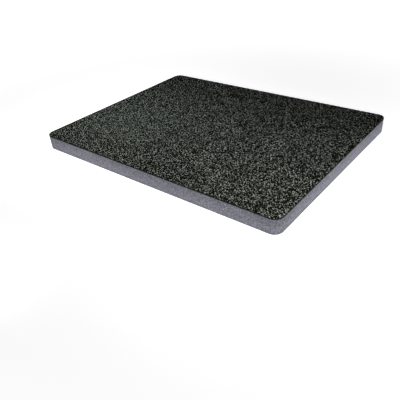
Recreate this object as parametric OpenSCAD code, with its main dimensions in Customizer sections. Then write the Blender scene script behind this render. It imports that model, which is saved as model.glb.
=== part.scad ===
// Foam insert for an equipment case: a sheet of grey closed-cell foam with a thin
// black textured layer bonded to its top, cut to a rectangle with round corners.
// The origin is the centre of the underside. X runs along the long side and Z points up.

/* [Insert] */
// Length of the insert, along the long side of the case
insert_length = 544; // [300:1:900]
// Width of the insert, along the short side of the case
insert_width = 419; // [200:1:700]
// Full thickness of the insert, with its top layer
insert_thickness = 30; // [15:0.5:80]
// Radius of the four corners, seen from above
corner_radius = 16; // [6:0.5:40]

/* [Top layer] */
// Thickness of the black layer bonded to the top
layer_thickness = 3.5; // [2:0.1:8]
// Radius of the rolled edge around the top of the black layer
top_edge_radius = 1.2; // [0.4:0.1:1.8]

/* [Hidden] */
$fn = 96;

// Height of the glued face between the grey foam and the black layer
bond_height = insert_thickness - layer_thickness;
// How far a cutting shape stands clear of the foam that it trims
cut_clear = 1;
// Places of the corner centres
corner_x = insert_length / 2 - corner_radius;
corner_y = insert_width / 2 - corner_radius;

foam_grey = [0.50, 0.50, 0.54];
layer_black = [0.10, 0.10, 0.10];

// Repeats a shape at the four corners. The shape is drawn for the corner at +X +Y,
// with the corner's centre at the origin.
module at_each_corner() {
    for (side_x = [0, 1], side_y = [0, 1])
        mirror([side_x, 0, 0])
            mirror([0, side_y, 0])
                translate([corner_x, corner_y, 0])
                    children();
}

// What is trimmed off one square corner to leave it round
module corner_waste(thickness) {
    difference() {
        translate([0, 0, -cut_clear])
            cube([corner_radius + cut_clear, corner_radius + cut_clear, thickness + 2 * cut_clear]);
        translate([0, 0, -2 * cut_clear])
            cylinder(r = corner_radius, h = thickness + 4 * cut_clear);
    }
}

// A rectangular sheet with round corners, standing on z = 0
module sheet(thickness) {
    difference() {
        translate([-insert_length / 2, -insert_width / 2, 0])
            cube([insert_length, insert_width, thickness]);
        at_each_corner() corner_waste(thickness);
    }
}

// Section of what the rolled edge takes away, with the edge's inner centre at the origin
module rolled_edge_section() {
    difference() {
        square(top_edge_radius + cut_clear);
        circle(r = top_edge_radius);
    }
}

// What the rolled edge takes away along one straight side, running along +Y from y = 0
module straight_edge_waste(side_length) {
    translate([0, side_length, 0])
        rotate([90, 0, 0])
            linear_extrude(side_length)
                rolled_edge_section();
}

// What the rolled edge takes away around the top of the sheet
module top_edge_waste(thickness) {
    edge_height = thickness - top_edge_radius;
    at_each_corner()
        rotate_extrude(angle = 90)
            translate([corner_radius - top_edge_radius, edge_height])
                rolled_edge_section();
    for (turn = [0, 180]) {
        rotate(turn)
            translate([insert_length / 2 - top_edge_radius, -corner_y, edge_height])
                straight_edge_waste(2 * corner_y);
        rotate(turn + 90)
            translate([insert_width / 2 - top_edge_radius, -corner_x, edge_height])
                straight_edge_waste(2 * corner_x);
    }
}

// The grey foam, with every face cut square
module foam_body() {
    color(foam_grey)
        sheet(bond_height);
}

// The black layer, bonded face to face on the grey foam
module top_layer() {
    color(layer_black)
        translate([0, 0, bond_height])
            difference() {
                sheet(layer_thickness);
                top_edge_waste(layer_thickness);
            }
}

foam_body();
top_layer();
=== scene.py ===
"""Looks of a case foam insert: a thin black pebbled foam layer bonded on a sheet of grey closed-cell foam.

Lengths are in metres, in the part's own frame: X along the long side, Y from front to back, Z up.
Colours are linear.
"""
import math

import bpy
import numpy as np
from mathutils import Matrix, Vector
from mathutils.geometry import delaunay_2d_cdt


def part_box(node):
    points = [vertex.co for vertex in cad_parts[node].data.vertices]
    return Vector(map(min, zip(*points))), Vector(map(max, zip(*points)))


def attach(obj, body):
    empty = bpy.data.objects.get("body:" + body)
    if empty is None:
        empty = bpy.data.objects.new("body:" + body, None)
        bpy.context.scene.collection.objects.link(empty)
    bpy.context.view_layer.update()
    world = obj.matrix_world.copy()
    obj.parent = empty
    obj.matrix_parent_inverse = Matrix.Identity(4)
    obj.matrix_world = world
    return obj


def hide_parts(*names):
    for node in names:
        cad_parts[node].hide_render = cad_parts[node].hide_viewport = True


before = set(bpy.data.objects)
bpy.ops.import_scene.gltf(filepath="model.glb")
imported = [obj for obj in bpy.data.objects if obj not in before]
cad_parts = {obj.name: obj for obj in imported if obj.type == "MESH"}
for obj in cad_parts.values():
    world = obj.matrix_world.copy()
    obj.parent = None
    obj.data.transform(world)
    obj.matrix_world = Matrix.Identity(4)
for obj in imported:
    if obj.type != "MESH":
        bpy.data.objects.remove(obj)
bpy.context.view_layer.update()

MM = 0.001

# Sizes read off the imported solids
body_low, body_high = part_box("foam_body")
layer_low, layer_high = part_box("top_layer")
HALF_LENGTH = layer_high.x
HALF_WIDTH = layer_high.y


def reach_at(node, test):
    """How far along +X the points of a solid reach, counting only those that pass a test."""
    return max(v.co.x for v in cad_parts[node].data.vertices if test(v.co))


TOUCH = 0.02 * MM
CORNER_RADIUS = HALF_LENGTH - reach_at("top_layer", lambda p: p.y > HALF_WIDTH - TOUCH)
ROLL_RADIUS = HALF_LENGTH - reach_at("top_layer", lambda p: p.z > layer_high.z - TOUCH)
CORNER_X = HALF_LENGTH - CORNER_RADIUS
CORNER_Y = HALF_WIDTH - CORNER_RADIUS

# Relief of the foam cells, as they open on the pebbled face, the cut sides and the underside
PEBBLE_PITCH = 1.74 * MM
PEBBLE_DEPTH = 0.62 * MM
PEBBLE_RIM_DROP = 0.3 * PEBBLE_DEPTH
SIDE_PITCH = 1.25 * MM
SIDE_DEPTH = 0.13 * MM
SIDE_RIM_DROP = 0.4 * SIDE_DEPTH
UNDERSIDE_PITCH = 2.25 * MM
LEAST_PIT = 0.25
CELL_JITTER = 0.24
CELL_EDGE_CLEAR = 0.6
PEBBLE_SEED = 11
UNDERSIDE_SEED = 12
SIDE_SEED = 13
ROW_STEP = math.sqrt(0.75)

# Edges of the two sheets
LAYER_RING_PITCH = 1.6 * MM
LAYER_WALL_RINGS = 3
ROLL_STEPS = 5
EASED_EDGE = 0.3 * MM
SHARP_ANGLE = math.radians(80)

# The ragged line where the two foams were bonded
BOND_DROP = 0.2 * MM
BOND_RISE = 0.8 * MM
BOND_BLUR = 0.1 * MM
BOND_RAG_SIZE = 3 * MM

# Spread of most noise values, which seldom leave this span
NOISE_LOW = 0.3
NOISE_HIGH = 0.7

# Width of a foam cell's wall, as a share of the cell
CELL_WALL = 0.16

# Black foam. A cell gets a pale painted highlight where its chance tone passes a span, and a brighter
# painted glint past a second one
GRAIN_SIZE = 0.90 * MM
HIGHLIGHT_SHARE = (0.885, 0.955)
GLINT_SHARE = (0.965, 0.985)
# Painted shade in the pits: the painted highlights dim where a point stands low in its cell
PIT_SHADE_STANDS = (0.35, 1.0)
PIT_SHADE_DIMMING = (0.55, 1.0)
CLUMP_SIZE = 7 * MM
CLUMP_LIGHT = (0.85, 1.0)
# Colours of the painted highlights on the cell rims, and of the brightest painted glints
PAINTED_HIGHLIGHT = (0.730, 0.775, 0.691, 1)
GREENISH_PAINTED_HIGHLIGHT = (0.590, 0.684, 0.613, 1)
PAINTED_GLINT = (0.97, 1.0, 0.94, 1)
DEEP_PIT = (0.0020, 0.0023, 0.0017, 1)
SHALLOW_PIT = (0.0100, 0.0113, 0.0084, 1)
GREENISH_PIT = (0.0120, 0.0145, 0.0112, 1)
DARK_CUT = (0.0125, 0.012, 0.011, 1)
PALE_CUT = (0.030, 0.029, 0.0275, 1)
BONDED_GREY = (0.155, 0.155, 0.180, 1)
UNHIGHLIT_ROUGHNESS = 0.85
HIGHLIGHT_ROUGHNESS = 0.55
FULL_HIGHLIGHT = 0.6
DIMPLE_SIZE = 0.6 * MM
BLACK_BUMP = 0.35 * MM
BLACK_BUMP_STRENGTH = 0.8

# A faint green cast on the pebbled face
GREEN_CAST_SPOT = (-0.17, -0.06, 0.03)
GREEN_CAST_REACH = 0.17
GREEN_CAST_CORE = 0.3 * GREEN_CAST_REACH

# Grey foam: sizes of its cells and strokes, and how far each swings the tone from dark to pale
GREY_CELL_SIZE = 1.5 * MM
GREY_CELL_SWING = 0.32
FINE_CELL_SIZE = 0.8 * MM
FINE_CELL_SWING = 0.20
STROKE_SIZE = 2.0 * MM
STROKE_LEAN = (-0.35, 0.35, 0.0)
STROKE_STRETCH = (1.0, 1.0, 0.35)
STROKE_SPAN = (0.25, 0.75)
STROKE_SWING = 0.20
CLOUD_SIZE = 26 * MM
CLOUD_SWING = 0.02
DARK_GREY = (0.086, 0.086, 0.106, 1)
PALE_GREY = (0.340, 0.340, 0.394, 1)
BONDED_BLACK = (0.021, 0.0205, 0.0195, 1)
OPEN_CELL_ROUGHNESS = 0.88
CELL_WALL_ROUGHNESS = 0.62
GREY_SPECULAR = 0.22
GREY_BUMP = 0.2 * MM
GREY_BUMP_STRENGTH = 0.5

# Painted light and shade over the grey foam's height: it pales from the foot up, then darkens towards the
# bond
FOOT_HEIGHTS = (0.0, 9 * MM)
FOOT_PAINTED_SHADE = (0.50, 0.59)
UPPER_HEIGHTS = (8 * MM, 22 * MM)
UPPER_PAINTED_SHADE = (0.585, 0.41)

# Pale flecks in the grey foam: stray cells, and spots on the front side by X, Z and radius
FLECK_TONE = (0.50, 0.50, 0.53, 1)
STRAY_FLECK_SIZE = 2.1 * MM
STRAY_FLECK_SHARE = 0.988
STRAY_FLECK_STRENGTH = 0.35
FRONT_FLECK_STRENGTH = 0.8
FRONT_FLECK_CORE = 0.3
FRONT_FLECKS = [(x * MM, z * MM, radius * MM) for x, z, radius in (
    (30, 23.5, 1.4), (180, 22.5, 1.9), (182, 17.5, 1.6), (176, 13, 1.7), (193, 22.5, 1.6), (198, 21, 1.8))]

# The photo's camera, solved from the straight edges of the insert
IMAGE_SIDE = 400
FOCAL_PIXELS = 449.48
SENSOR_WIDTH = 36.0
CAMERA_SPOT = (0.5181, -0.6577, 0.4068)
CAMERA_YAW = -0.71263
CAMERA_PITCH = 0.58605
CAMERA_ROLL = 0.07773

# Floor and surrounding light. The floor's own glow is seen by the camera and lights nothing
FLOOR_REACH = 12.0
FLOOR_TONE = (0.62, 0.62, 0.62, 1)
GLOW_REACH = (0.35, 0.85)
GLOW_STRENGTH = (0.80, 0.97)
WORLD_STRENGTH = 0.10

# Lamps: name, place, aim, size across and up, watts, and spread in degrees
STRIP_HEIGHT = 0.0145  # lower than the pebbled face, so the two strips light only the sides
LAMPS = (
    ("key_softbox", (0.33, -0.41, 0.63), (0.185, -0.10, 0.0), (0.35, 0.35), 0.54, 48),
    ("left_softbox", (-0.10, -0.41, 0.61), (-0.22, -0.045, 0.0), (0.35, 0.35), 0.50, 46),
    ("right_softbox", (0.80, 0.10, 0.12), (0.1, 0.0, 0.0), (0.4, 0.2), 1.90, 180),
    ("front_strip", (-0.04, -0.55, STRIP_HEIGHT), (-0.04, 0.0, STRIP_HEIGHT), (0.12, 0.024), 0.28, 180),
    ("rear_strip", (-1.70, 1.50, STRIP_HEIGHT), (0.0, 0.0, STRIP_HEIGHT), (1.8, 0.024), 57.5, 180),
)


# Outline and mesh building


def outline_length():
    """Length of the insert's plan outline."""
    return 4 * CORNER_X + 4 * CORNER_Y + 2 * math.pi * CORNER_RADIUS


def outline(along):
    """Points of the insert's plan outline and their outward directions, for distances along it.

    The walk starts at the left end of the front side and goes anticlockwise seen from above.
    """
    sides = [
        (2 * CORNER_X, 0.0),
        (2 * CORNER_Y, 0.5 * math.pi),
        (2 * CORNER_X, math.pi),
        (2 * CORNER_Y, 1.5 * math.pi),
    ]
    quarter = 0.5 * math.pi * CORNER_RADIUS
    along = np.mod(along, outline_length())
    spots = np.zeros((len(along), 2))
    outward = np.zeros((len(along), 2))
    corner = np.array([-CORNER_X, -CORNER_Y])
    start = 0.0
    for length, heading in sides:
        ahead = np.array([math.cos(heading), math.sin(heading)])
        aside = np.array([ahead[1], -ahead[0]])
        straight = (along >= start) & (along < start + length)
        spots[straight] = corner + CORNER_RADIUS * aside + np.outer(along[straight] - start, ahead)
        outward[straight] = aside
        corner = corner + length * ahead
        start += length
        bend = (along >= start) & (along < start + quarter)
        turn = (along[bend] - start) / CORNER_RADIUS
        outward[bend] = np.outer(np.cos(turn), aside) + np.outer(np.sin(turn), ahead)
        spots[bend] = corner + CORNER_RADIUS * outward[bend]
        start += quarter
    return spots, outward


def depth_inside(points):
    """How far points lie inside the plan outline."""
    reach = np.abs(points) - np.array([CORNER_X, CORNER_Y])
    outside = np.hypot(np.maximum(reach[:, 0], 0), np.maximum(reach[:, 1], 0))
    return CORNER_RADIUS - outside - np.minimum(reach.max(axis=1), 0)


def cell_lattice(pitch, margin, seed):
    """A jittered triangular lattice inside the outline. Every third point is the middle of a cell."""
    rows = int(HALF_WIDTH / (pitch * ROW_STEP)) + 1
    columns = int(HALF_LENGTH / pitch) + 1
    row, column = np.mgrid[-rows:rows + 1, -columns:columns + 1]
    odd = np.mod(row, 2)
    middle = np.mod(column - (row - odd) // 2 - row, 3) == 0
    points = np.stack([(column + 0.5 * odd) * pitch, row * pitch * ROW_STEP], axis=-1).reshape(-1, 2)
    draw = np.random.default_rng(seed)
    points = points + draw.uniform(-CELL_JITTER, CELL_JITTER, points.shape) * pitch
    kept = depth_inside(points) > margin + CELL_EDGE_CLEAR * pitch
    return points[kept], middle.reshape(-1)[kept]


class SheetMesh:
    """Collects the rings and fills of one closed foam sheet."""

    def __init__(self, ring_pitch):
        self.ring_count = int(round(outline_length() / ring_pitch))
        self.spots = []
        self.faces = []
        self.cell_middle = []
        self.relief = []

    def add_points(self, points, middle, relief):
        """Adds points with their share of the relief, and returns the number of the first."""
        first = len(self.spots)
        self.spots.extend(points)
        self.cell_middle.extend(middle)
        self.relief.extend([relief] * len(points))
        return first

    def ring(self, inset, height, shift=0.0, relief=0.0, middle_phase=None):
        """Adds a ring of points around the outline and returns the number of its first point.

        With a phase, every third point from there on is the middle of a cell.
        """
        steps = np.arange(self.ring_count) + shift
        spots, outward = outline(steps * outline_length() / self.ring_count)
        points = [(x, y, height) for x, y in spots - inset * outward]
        middle = [0.0] * self.ring_count
        if middle_phase is not None:
            middle = [float((k + middle_phase) % 3 == 0) for k in range(self.ring_count)]
        return self.add_points(points, middle, relief)

    def wall(self, lower, upper, lean=0):
        """Joins two rings with triangles. A lean of 1 fits an upper ring that is shifted half a step on."""
        count = self.ring_count
        for k in range(count):
            after = (k + 1) % count
            a, b, c, d = lower + k, lower + after, upper + after, upper + k
            if lean:
                self.faces += [(a, b, d), (b, c, d)]
            else:
                self.faces += [(a, b, c), (a, c, d)]

    def fill(self, ring_first, height, upwards, pitch=None, margin=0.0, seed=0, relief=0.0):
        """Closes a ring with a flat face, which holds a lattice of foam cells where a pitch is given."""
        count = self.ring_count
        rim = [Vector(self.spots[ring_first + k][:2]) for k in range(count)]
        edges = [(k, (k + 1) % count) for k in range(count)]
        inner, middle = np.zeros((0, 2)), np.zeros(0)
        if pitch:
            inner, middle = cell_lattice(pitch, margin, seed)
        points = [(x, y, height) for x, y in inner]
        first = self.add_points(points, middle.astype(float), relief)
        inside_only = 1
        merge_reach = 1e-7
        made = delaunay_2d_cdt(rim + [Vector(p) for p in inner], edges, [], inside_only, merge_reach)
        made_faces, made_from = made[2], made[3]
        given = [source[0] for source in made_from]
        number = [ring_first + k if k < count else first + k - count for k in given]
        for face in made_faces:
            around = [number[k] for k in face]
            self.faces.append(around if upwards else around[::-1])

    def piece(self, name):
        """Turns what was collected into an object."""
        mesh = bpy.data.meshes.new(name)
        mesh.from_pydata(self.spots, [], self.faces)
        for key, values in (("cell_middle", self.cell_middle), ("relief", self.relief)):
            attribute = mesh.attributes.new(key, "FLOAT", "POINT")
            attribute.data.foreach_set("value", np.array(values, np.float32))
        obj = bpy.data.objects.new(name, mesh)
        bpy.context.scene.collection.objects.link(obj)
        return obj


# Node trees


class NodeMaker:
    """A node tree with short ways to add and join nodes."""

    def __init__(self, tree):
        self.tree = tree

    def node(self, kind, **settings):
        """Adds a node and sets its properties."""
        made = self.tree.nodes.new(kind)
        for key, value in settings.items():
            setattr(made, key, value)
        return made

    def feed(self, socket, value):
        """Joins an output to a socket, or gives the socket a plain value."""
        if isinstance(value, bpy.types.NodeSocket):
            self.tree.links.new(value, socket)
        else:
            socket.default_value = value

    def math(self, kind, *values, clamp=False):
        """Works out a sum, product or the like."""
        made = self.node("ShaderNodeMath", operation=kind, use_clamp=clamp)
        for socket, value in zip(made.inputs, values):
            self.feed(socket, value)
        return made.outputs[0]

    def remap(self, value, span, target=(0.0, 1.0)):
        """Stretches one span of values over another, and holds it at the ends."""
        made = self.node("ShaderNodeMapRange")
        for socket, given in zip(made.inputs, (value, *span, *target)):
            self.feed(socket, given)
        return made.outputs[0]

    def swing(self, value, span, reach):
        """Stretches a span of values from minus to plus a reach."""
        return self.remap(value, span, (-reach, reach))

    def blend(self, factor, first, second):
        """Mixes two colours."""
        made = self.node("ShaderNodeMix", data_type="RGBA")
        self.feed(made.inputs[0], factor)
        self.feed(made.inputs[6], first)
        self.feed(made.inputs[7], second)
        return made.outputs[2]

    def noise(self, vector, size, detail=2.0, roughness=0.5):
        """Soft noise with lumps of about a given size."""
        made = self.node("ShaderNodeTexNoise")
        self.feed(made.inputs["Vector"], vector)
        self.feed(made.inputs["Scale"], 1.0 / size)
        self.feed(made.inputs["Detail"], detail)
        self.feed(made.inputs["Roughness"], roughness)
        return made.outputs["Fac"]

    def distance(self, vector, spot):
        """How far a point lies from a spot."""
        made = self.node("ShaderNodeVectorMath", operation="DISTANCE")
        self.feed(made.inputs[0], vector)
        self.feed(made.inputs[1], spot)
        return made.outputs["Value"]

    def height(self, vector):
        """The Z of a point."""
        made = self.node("ShaderNodeSeparateXYZ")
        self.feed(made.inputs[0], vector)
        return made.outputs["Z"]

    def mapped(self, vector, **settings):
        """Turns or stretches the place that a pattern reads."""
        made = self.node("ShaderNodeMapping")
        self.feed(made.inputs["Vector"], vector)
        for key, value in settings.items():
            made.inputs[key].default_value = value
        return made.outputs["Vector"]


def foam_relief_tree():
    """Sinks the middle of each foam cell below its rim, unevenly, and notes how high each point stands."""
    tree = bpy.data.node_groups.new("foam_relief", "GeometryNodeTree")
    inputs = (
        ("Geometry", "NodeSocketGeometry"),
        ("Pit Depth", "NodeSocketFloat"),
        ("Rim Drop", "NodeSocketFloat"),
        ("Seed", "NodeSocketInt"),
        ("Finish", "NodeSocketMaterial"),
    )
    for name, kind in inputs:
        tree.interface.new_socket(name, in_out="INPUT", socket_type=kind)
    tree.interface.new_socket("Geometry", in_out="OUTPUT", socket_type="NodeSocketGeometry")
    maker = NodeMaker(tree)
    given = maker.node("NodeGroupInput").outputs
    result = maker.node("NodeGroupOutput")

    def named(name):
        made = maker.node("GeometryNodeInputNamedAttribute", data_type="FLOAT")
        made.inputs["Name"].default_value = name
        return made.outputs["Attribute"]

    chance = maker.node("FunctionNodeRandomValue", data_type="FLOAT")
    maker.feed(chance.inputs["Seed"], given["Seed"])
    drawn = chance.outputs[1]
    pit_share = maker.math("MULTIPLY_ADD", drawn, 1.0 - LEAST_PIT, LEAST_PIT)
    pit_sink = maker.math("MULTIPLY", pit_share, given["Pit Depth"])
    rim_sink = maker.math("MULTIPLY", drawn, given["Rim Drop"])
    mix = maker.node("ShaderNodeMix", data_type="FLOAT")
    maker.feed(mix.inputs["Factor"], named("cell_middle"))
    maker.feed(mix.inputs[2], rim_sink)
    maker.feed(mix.inputs[3], pit_sink)
    sink = maker.math("MULTIPLY", mix.outputs[0], named("relief"))
    stand = maker.math("SUBTRACT", 1.0, maker.math("DIVIDE", sink, given["Pit Depth"]))

    normal = maker.node("GeometryNodeInputNormal")
    offset = maker.node("ShaderNodeVectorMath", operation="SCALE")
    maker.feed(offset.inputs[0], normal.outputs["Normal"])
    maker.feed(offset.inputs["Scale"], maker.math("MULTIPLY", sink, -1.0))
    keep = maker.node("GeometryNodeStoreNamedAttribute", data_type="FLOAT", domain="POINT")
    keep.inputs["Name"].default_value = "stand"
    maker.feed(keep.inputs["Geometry"], given["Geometry"])
    maker.feed(keep.inputs["Value"], stand)
    move = maker.node("GeometryNodeSetPosition")
    maker.feed(move.inputs["Geometry"], keep.outputs["Geometry"])
    maker.feed(move.inputs["Offset"], offset.outputs["Vector"])
    realize = maker.node("GeometryNodeRealizeInstances")
    maker.feed(realize.inputs["Geometry"], move.outputs["Geometry"])
    finish = maker.node("GeometryNodeSetMaterial")
    maker.feed(finish.inputs["Geometry"], realize.outputs["Geometry"])
    maker.feed(finish.inputs["Material"], given["Finish"])
    maker.feed(result.inputs["Geometry"], finish.outputs["Geometry"])
    return tree


def apply_relief(obj, tree, values):
    """Runs the relief tree on an object and keeps the result as its plain mesh."""
    modifier = obj.modifiers.new("relief", "NODES")
    modifier.node_group = tree
    for item in tree.interface.items_tree:
        if item.in_out == "INPUT" and item.name in values:
            modifier[item.identifier] = values[item.name]
    evaluated = obj.evaluated_get(bpy.context.evaluated_depsgraph_get())
    mesh = bpy.data.meshes.new_from_object(evaluated)
    obj.modifiers.remove(modifier)
    plain = obj.data
    obj.data = mesh
    bpy.data.meshes.remove(plain)
    mesh.name = obj.name
    mesh.shade_smooth()
    mesh.set_sharp_from_angle(angle=SHARP_ANGLE)


# Materials


def foam_cells_group():
    """Small foam cells: a chance tone for each cell, its wall, and a height for bump."""
    group = bpy.data.node_groups.new("foam_cells", "ShaderNodeTree")
    group.interface.new_socket("Vector", in_out="INPUT", socket_type="NodeSocketVector")
    group.interface.new_socket("Cell Size", in_out="INPUT", socket_type="NodeSocketFloat")
    for name in ("Tone", "Wall", "Height"):
        group.interface.new_socket(name, in_out="OUTPUT", socket_type="NodeSocketFloat")
    maker = NodeMaker(group)
    given = maker.node("NodeGroupInput").outputs
    result = maker.node("NodeGroupOutput").inputs
    scale = maker.math("DIVIDE", 1.0, given["Cell Size"])
    cells = maker.node("ShaderNodeTexVoronoi", feature="F1")
    walls = maker.node("ShaderNodeTexVoronoi", feature="DISTANCE_TO_EDGE")
    for made in (cells, walls):
        maker.feed(made.inputs["Vector"], given["Vector"])
        maker.feed(made.inputs["Scale"], scale)
    parts = maker.node("ShaderNodeSeparateColor")
    maker.feed(parts.inputs[0], cells.outputs["Color"])
    maker.feed(result["Tone"], parts.outputs[0])
    maker.feed(result["Wall"], maker.remap(walls.outputs["Distance"], (0.0, CELL_WALL), (1.0, 0.0)))
    maker.feed(result["Height"], maker.math("SUBTRACT", 1.0, cells.outputs["Distance"]))
    return group


def place_cells(maker, group, vector, size):
    """Puts the group of foam cells into a material, with cells of a given size."""
    made = maker.node("ShaderNodeGroup", node_tree=group)
    maker.feed(made.inputs["Vector"], vector)
    maker.feed(made.inputs["Cell Size"], size)
    return made.outputs


def new_material(name):
    """A material, what adds nodes to it, its surface, and the place that its patterns read."""
    material = bpy.data.materials.new(name)
    material.use_nodes = True
    maker = NodeMaker(material.node_tree)
    surface = material.node_tree.nodes["Principled BSDF"]
    place = maker.node("ShaderNodeTexCoord").outputs["Object"]
    return material, maker, surface, place


def point_value(maker, name):
    """A value that the mesh keeps at its points."""
    return maker.node("ShaderNodeAttribute", attribute_name=name).outputs["Fac"]


def bump(maker, surface, height, distance, strength):
    """Adds relief that is finer than the mesh."""
    made = maker.node("ShaderNodeBump")
    made.inputs["Strength"].default_value = strength
    made.inputs["Distance"].default_value = distance
    maker.feed(made.inputs["Height"], height)
    maker.feed(surface.inputs["Normal"], made.outputs["Normal"])


def above_bond(maker, place):
    """Zero below the ragged line where the two foams were bonded, one above it."""
    rag = maker.noise(place, BOND_RAG_SIZE, detail=3.0, roughness=0.6)
    wander = maker.remap(rag, (NOISE_LOW, NOISE_HIGH), (-BOND_DROP, BOND_RISE))
    clear = maker.math("SUBTRACT", maker.height(place), wander)
    return maker.remap(clear, (layer_low.z - BOND_BLUR, layer_low.z + BOND_BLUR))


def pebbled_black_material(cells_group):
    """Near-black foam: painted highlights on the cell rims, dimmed by painted shade in the pits, dark pits,
    and a plain dark cut side.
    """
    material, maker, surface, place = new_material("pebbled_black_foam")
    grains = place_cells(maker, cells_group, place, GRAIN_SIZE)
    # Painted highlights: pale colour on some cell rims stands in for the glints of glossy cell walls
    highlight = maker.remap(grains["Tone"], HIGHLIGHT_SHARE)
    glint = maker.remap(grains["Tone"], GLINT_SHARE)
    # Painted shade: the highlights dim down in the pits
    rim = maker.remap(point_value(maker, "stand"), PIT_SHADE_STANDS, PIT_SHADE_DIMMING)
    clump_noise = maker.noise(place, CLUMP_SIZE, roughness=0.6)
    clumps = maker.remap(clump_noise, (NOISE_LOW, NOISE_HIGH), CLUMP_LIGHT)
    highlight_mask = maker.math("MULTIPLY", maker.math("MULTIPLY", highlight, rim), clumps)

    away = maker.distance(place, GREEN_CAST_SPOT)
    green = maker.remap(away, (GREEN_CAST_CORE, GREEN_CAST_REACH), (1.0, 0.0))
    pale = maker.blend(glint, maker.blend(green, PAINTED_HIGHLIGHT, GREENISH_PAINTED_HIGHLIGHT), PAINTED_GLINT)
    pit = maker.blend(green, maker.blend(grains["Tone"], DEEP_PIT, SHALLOW_PIT), GREENISH_PIT)
    face = maker.blend(highlight_mask, pit, pale)
    cut = maker.blend(grains["Tone"], DARK_CUT, PALE_CUT)
    side = maker.blend(above_bond(maker, place), BONDED_GREY, cut)
    maker.feed(surface.inputs["Base Color"], maker.blend(point_value(maker, "relief"), side, face))

    roughness = maker.remap(highlight_mask, (0.0, FULL_HIGHLIGHT), (UNHIGHLIT_ROUGHNESS, HIGHLIGHT_ROUGHNESS))
    maker.feed(surface.inputs["Roughness"], roughness)
    surface.inputs["Specular IOR Level"].default_value = 0.0
    height = maker.math("ADD", grains["Height"], maker.noise(place, DIMPLE_SIZE))
    bump(maker, surface, height, BLACK_BUMP, BLACK_BUMP_STRENGTH)
    return material


def cut_grey_material(cells_group):
    """Lavender-grey foam as the knife leaves it: cells, faint upright strokes and pale flecks, with painted
    light and shade over its height.
    """
    material, maker, surface, place = new_material("cut_grey_foam")
    cells = place_cells(maker, cells_group, place, GREY_CELL_SIZE)
    fine = place_cells(maker, cells_group, place, FINE_CELL_SIZE)
    stray = place_cells(maker, cells_group, place, STRAY_FLECK_SIZE)
    leaning = maker.mapped(place, Rotation=STROKE_LEAN)
    strokes = maker.noise(maker.mapped(leaning, Scale=STROKE_STRETCH), STROKE_SIZE, roughness=0.6)
    cloud = maker.noise(place, CLOUD_SIZE)

    # Painted light and shade: darker at the very foot, paler a little higher up, darker again towards the
    # bond
    height = maker.height(place)
    foot_shade = maker.remap(height, FOOT_HEIGHTS, FOOT_PAINTED_SHADE)
    upper = maker.remap(height, UPPER_HEIGHTS, UPPER_PAINTED_SHADE)
    tone = maker.math("MINIMUM", foot_shade, upper)
    tone = maker.math("ADD", tone, maker.swing(cells["Tone"], (0.0, 1.0), GREY_CELL_SWING))
    tone = maker.math("ADD", tone, maker.swing(fine["Tone"], (0.0, 1.0), FINE_CELL_SWING))
    tone = maker.math("ADD", tone, maker.swing(strokes, STROKE_SPAN, STROKE_SWING))
    tone = maker.math("ADD", tone, maker.swing(cloud, (NOISE_LOW, NOISE_HIGH), CLOUD_SWING), clamp=True)
    grey = maker.blend(tone, DARK_GREY, PALE_GREY)

    rare = maker.math("GREATER_THAN", stray["Tone"], STRAY_FLECK_SHARE)
    fleck = maker.math("MULTIPLY", rare, STRAY_FLECK_STRENGTH)
    for x, z, radius in FRONT_FLECKS:
        away = maker.distance(place, (x, -HALF_WIDTH, z))
        patch = maker.remap(away, (FRONT_FLECK_CORE * radius, radius), (FRONT_FLECK_STRENGTH, 0.0))
        fleck = maker.math("MAXIMUM", fleck, patch)
    flecked = maker.blend(fleck, grey, FLECK_TONE)
    side = maker.blend(above_bond(maker, place), flecked, BONDED_BLACK)
    maker.feed(surface.inputs["Base Color"], side)

    roughness = maker.remap(fine["Wall"], (0.0, 1.0), (OPEN_CELL_ROUGHNESS, CELL_WALL_ROUGHNESS))
    maker.feed(surface.inputs["Roughness"], roughness)
    surface.inputs["Specular IOR Level"].default_value = GREY_SPECULAR
    swell = maker.math("ADD", fine["Height"], strokes)
    bump(maker, surface, swell, GREY_BUMP, GREY_BUMP_STRENGTH)
    return material


# Pieces


def make_black_layer(relief_tree, material):
    """The black layer: pebbled top, rolled edge and plain cut side."""
    sheet = SheetMesh(LAYER_RING_PITCH)
    bottom, top = layer_low.z, layer_high.z
    wall_heights = np.linspace(bottom, top - ROLL_RADIUS, LAYER_WALL_RINGS)
    turns = np.linspace(0, 0.5 * math.pi, ROLL_STEPS + 1)[1:]
    rings = [sheet.ring(0.0, height) for height in wall_heights]
    for turn in turns:
        inset = ROLL_RADIUS * (1 - math.cos(turn))
        height = top - ROLL_RADIUS * (1 - math.sin(turn))
        rings.append(sheet.ring(inset, height, relief=math.sin(turn)))
    for lower, upper in zip(rings, rings[1:]):
        sheet.wall(lower, upper)
    sheet.fill(rings[0], bottom, upwards=False)
    sheet.fill(
        rings[-1], top, upwards=True,
        pitch=PEBBLE_PITCH, margin=ROLL_RADIUS, seed=PEBBLE_SEED, relief=1.0)
    piece = sheet.piece("pebbled_black_layer")
    apply_relief(piece, relief_tree, {
        "Pit Depth": PEBBLE_DEPTH, "Rim Drop": PEBBLE_RIM_DROP, "Seed": PEBBLE_SEED, "Finish": material})
    return piece


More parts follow.
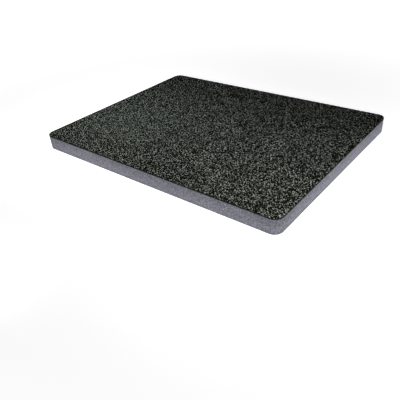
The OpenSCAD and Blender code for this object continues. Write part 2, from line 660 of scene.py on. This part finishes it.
def make_grey_body(relief_tree, material):
    """The grey foam: knife-cut sides, eased lower edge and a sliced underside."""
    sheet = SheetMesh(SIDE_PITCH)
    bottom, top = body_low.z, body_high.z
    row_count = int((top - bottom - EASED_EDGE) / (SIDE_PITCH * ROW_STEP))
    heights = np.linspace(bottom + EASED_EDGE, top, row_count + 1)
    edge = sheet.ring(EASED_EDGE, bottom)
    rings = [edge]
    for row, height in enumerate(heights):
        shift = 0.5 * (row % 2)
        if 0 < row < row_count:
            rings.append(sheet.ring(0.0, height, shift, relief=1.0, middle_phase=row + 1))
        else:
            rings.append(sheet.ring(0.0, height, shift))
    for row, (lower, upper) in enumerate(zip(rings, rings[1:])):
        sheet.wall(lower, upper, lean=row % 2)
    sheet.fill(
        edge, bottom, upwards=False,
        pitch=UNDERSIDE_PITCH, margin=EASED_EDGE, seed=UNDERSIDE_SEED, relief=1.0)
    sheet.fill(rings[-1], top, upwards=True)
    piece = sheet.piece("cut_grey_foam")
    apply_relief(piece, relief_tree, {
        "Pit Depth": SIDE_DEPTH, "Rim Drop": SIDE_RIM_DROP, "Seed": SIDE_SEED, "Finish": material})
    return piece


# Stage


def make_camera():
    """The photo's viewpoint."""
    level = Vector((math.sin(CAMERA_YAW), math.cos(CAMERA_YAW), 0))
    forward = level * math.cos(CAMERA_PITCH) + Vector((0, 0, -math.sin(CAMERA_PITCH)))
    right = Vector((math.cos(CAMERA_YAW), -math.sin(CAMERA_YAW), 0))
    down = forward.cross(right)
    across = right * math.cos(CAMERA_ROLL) + down * math.sin(CAMERA_ROLL)
    upward = right * math.sin(CAMERA_ROLL) - down * math.cos(CAMERA_ROLL)
    camera_data = bpy.data.cameras.new("photo_camera")
    camera_data.sensor_width = SENSOR_WIDTH
    camera_data.lens = SENSOR_WIDTH * FOCAL_PIXELS / IMAGE_SIDE
    camera_data.clip_start = 0.01
    camera_data.clip_end = 100
    camera = bpy.data.objects.new("photo_camera", camera_data)
    turned = Matrix((across, upward, -forward)).transposed().to_4x4()
    camera.matrix_world = Matrix.Translation(CAMERA_SPOT) @ turned
    bpy.context.scene.collection.objects.link(camera)
    bpy.context.scene.camera = camera


def make_lamp(name, spot, aim, size, watts, spread):
    """A soft lamp, aimed at a point, that the camera does not see."""
    lamp_data = bpy.data.lights.new(name, "AREA")
    lamp_data.shape = "ELLIPSE"
    lamp_data.size, lamp_data.size_y = size
    lamp_data.energy = watts
    lamp_data.spread = math.radians(spread)
    lamp = bpy.data.objects.new(name, lamp_data)
    lamp.location = spot
    lamp.visible_camera = False
    lamp.rotation_mode = "QUATERNION"
    lamp.rotation_quaternion = (Vector(aim) - Vector(spot)).to_track_quat("-Z", "Y")
    bpy.context.scene.collection.objects.link(lamp)


def seen_directly(maker):
    """One where the camera looks straight at a surface, or sees it in gloss or glass."""
    path = maker.node("ShaderNodeLightPath").outputs
    seen = maker.math("MAXIMUM", path["Is Camera Ray"], path["Is Glossy Ray"])
    return maker.math("MAXIMUM", seen, path["Is Transmission Ray"])


def make_world():
    """Soft even light, with a white background behind the floor."""
    world = bpy.data.worlds.new("studio")
    bpy.context.scene.world = world
    world.use_nodes = True
    maker = NodeMaker(world.node_tree)
    background = world.node_tree.nodes["Background"]
    background.inputs["Color"].default_value = (1, 1, 1, 1)
    strength = maker.remap(seen_directly(maker), (0.0, 1.0), (WORLD_STRENGTH, 1.0))
    maker.feed(background.inputs["Strength"], strength)


def make_floor():
    """A pale floor that keeps the insert's soft shadow and reads as white beside it."""
    mesh = bpy.data.meshes.new("floor")
    corners = [(x * FLOOR_REACH, y * FLOOR_REACH, 0) for x, y in ((-1, -1), (1, -1), (1, 1), (-1, 1))]
    mesh.from_pydata(corners, [], [(0, 1, 2, 3)])
    floor = bpy.data.objects.new("floor", mesh)
    bpy.context.scene.collection.objects.link(floor)
    material = bpy.data.materials.new("pale_floor")
    material.use_nodes = True
    maker = NodeMaker(material.node_tree)
    nodes = material.node_tree.nodes
    nodes.remove(nodes["Principled BSDF"])
    matt = maker.node("ShaderNodeBsdfDiffuse")
    matt.inputs["Color"].default_value = FLOOR_TONE
    glow = maker.node("ShaderNodeEmission")
    place = maker.node("ShaderNodeTexCoord").outputs["Object"]
    paleness = maker.remap(maker.distance(place, (0, 0, 0)), GLOW_REACH, GLOW_STRENGTH)
    maker.feed(glow.inputs["Strength"], maker.math("MULTIPLY", seen_directly(maker), paleness))
    both = maker.node("ShaderNodeAddShader")
    maker.feed(both.inputs[0], matt.outputs[0])
    maker.feed(both.inputs[1], glow.outputs[0])
    maker.feed(nodes["Material Output"].inputs["Surface"], both.outputs[0])
    mesh.materials.append(material)


# Putting it together

make_camera()
relief_tree = foam_relief_tree()
cells_group = foam_cells_group()
black_layer = make_black_layer(relief_tree, pebbled_black_material(cells_group))
grey_body = make_grey_body(relief_tree, cut_grey_material(cells_group))

for piece, node, slot in ((black_layer, "top_layer", "black_foam"), (grey_body, "foam_body", "grey_foam")):
    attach(piece, "root")
    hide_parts(node)

make_world()
make_floor()
for lamp in LAMPS:
    make_lamp(*lamp)

bpy.context.scene.view_settings.view_transform = "Standard"
